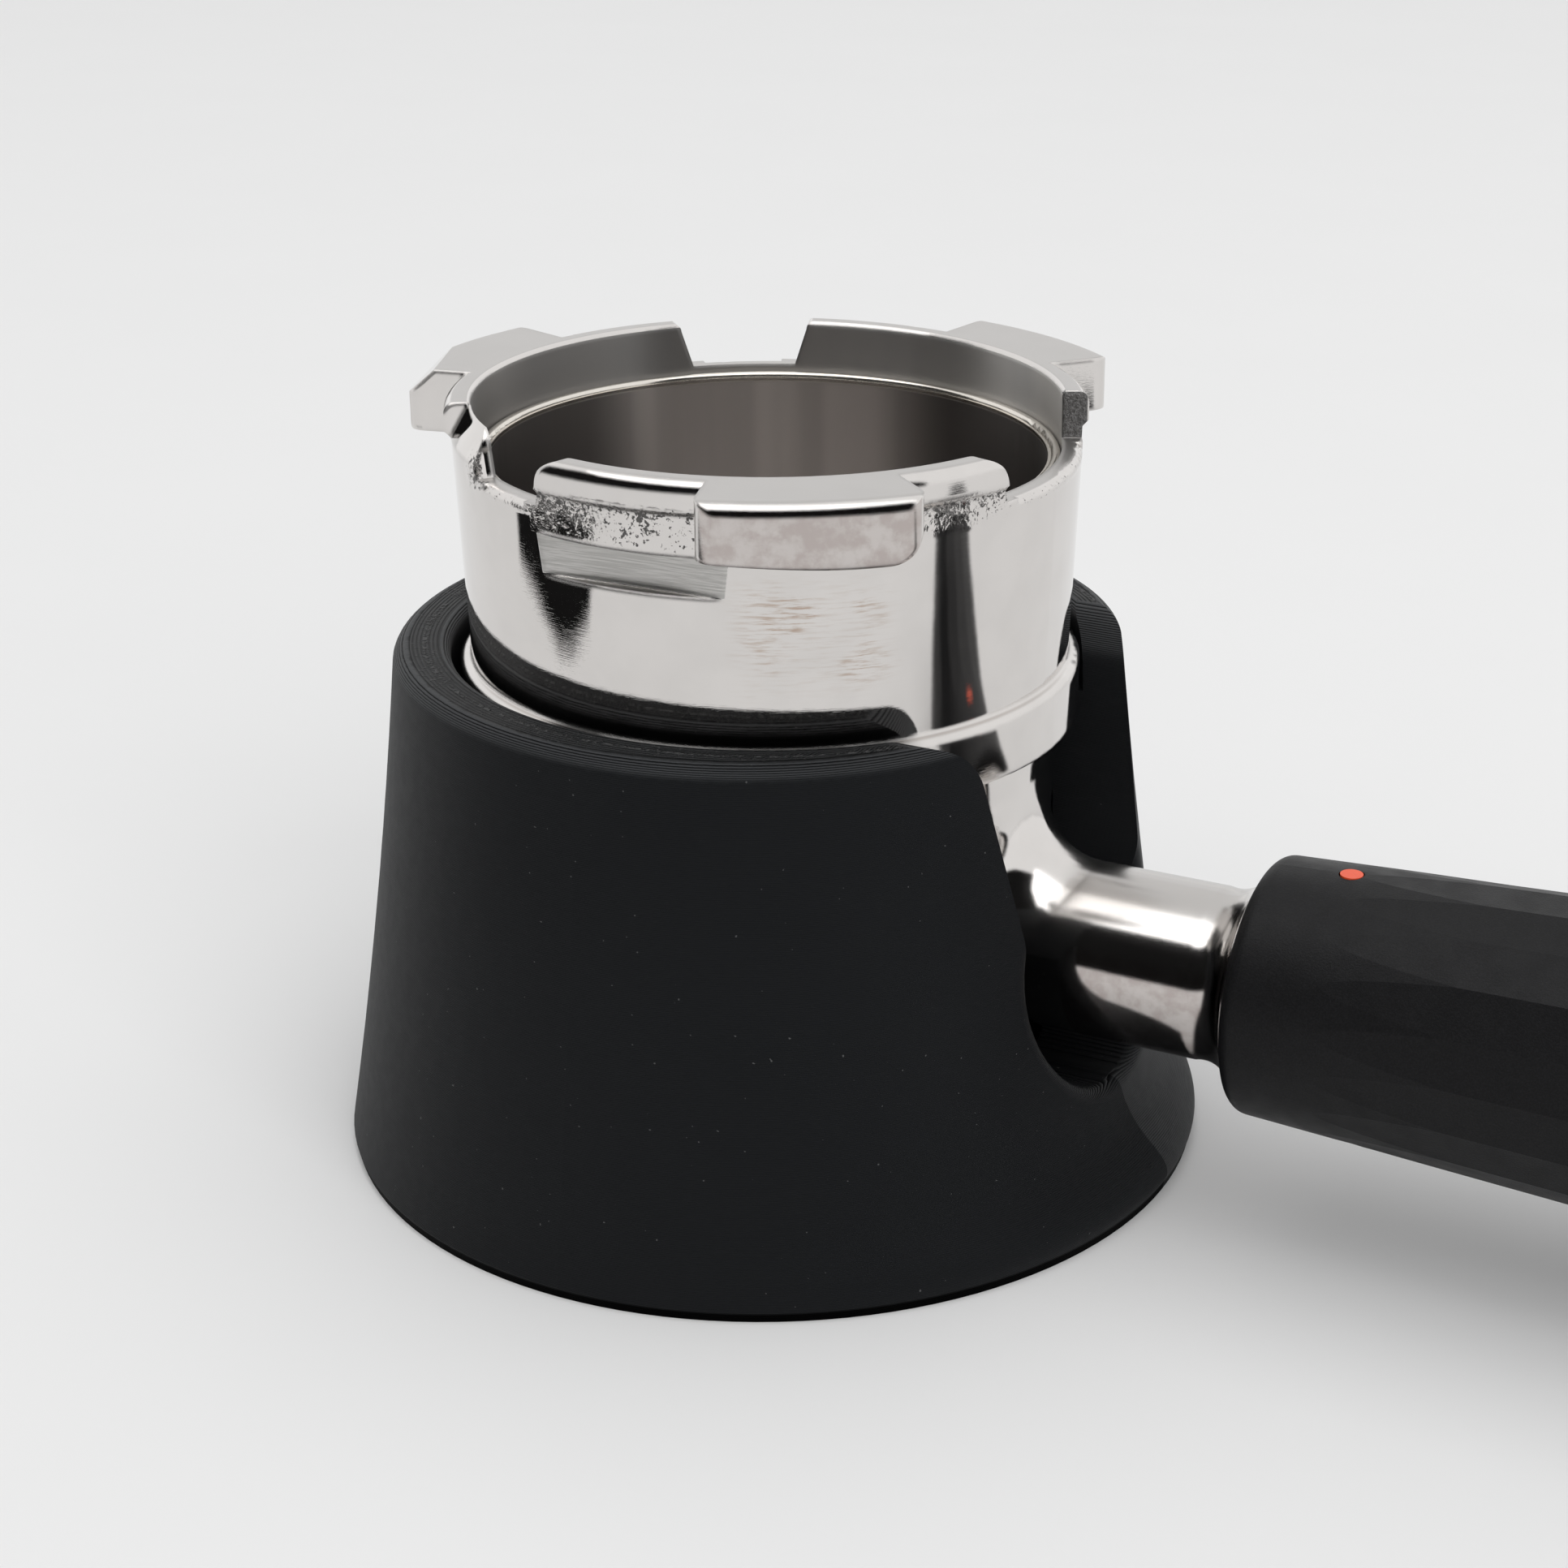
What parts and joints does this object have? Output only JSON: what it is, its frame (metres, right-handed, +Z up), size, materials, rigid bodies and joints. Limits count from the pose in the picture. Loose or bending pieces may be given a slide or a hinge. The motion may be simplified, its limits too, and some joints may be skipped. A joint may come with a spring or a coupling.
{
  "type": "coffee tamping station",
  "caption": "Tapered round tamping stand with a slotted rim, holding a portafilter: polished lugged bowl, filter basket, round neck and long tapered handle.",
  "frame": {"origin": "centre of the stand's underside", "axes": "+Z up out of the stand's bore, +X along the neck slot and the handle, +Y to the left seen from the stand towards the handle's end"},
  "size_m": [0.2224, 0.1004, 0.0876],
  "materials": {
    "stand_plastic": "printed in fine layers, matte black",
    "casting_metal": "polished casting, rough left as cast beside the lugs",
    "basket_steel": "pressed and brushed",
    "grip_black": "bead blasted and anodised black",
    "dot_orange": "coloured inlay",
    "stud_steel": "plain steel"
  },
  "bodies": {
    "root": {"stand_body": "stand_plastic", "portafilter_body": "casting_metal", "filter_basket": "basket_steel", "handle_grip": "grip_black", "handle_dot": "dot_orange", "handle_stud": "stud_steel"}
  },
  "joints": []
}
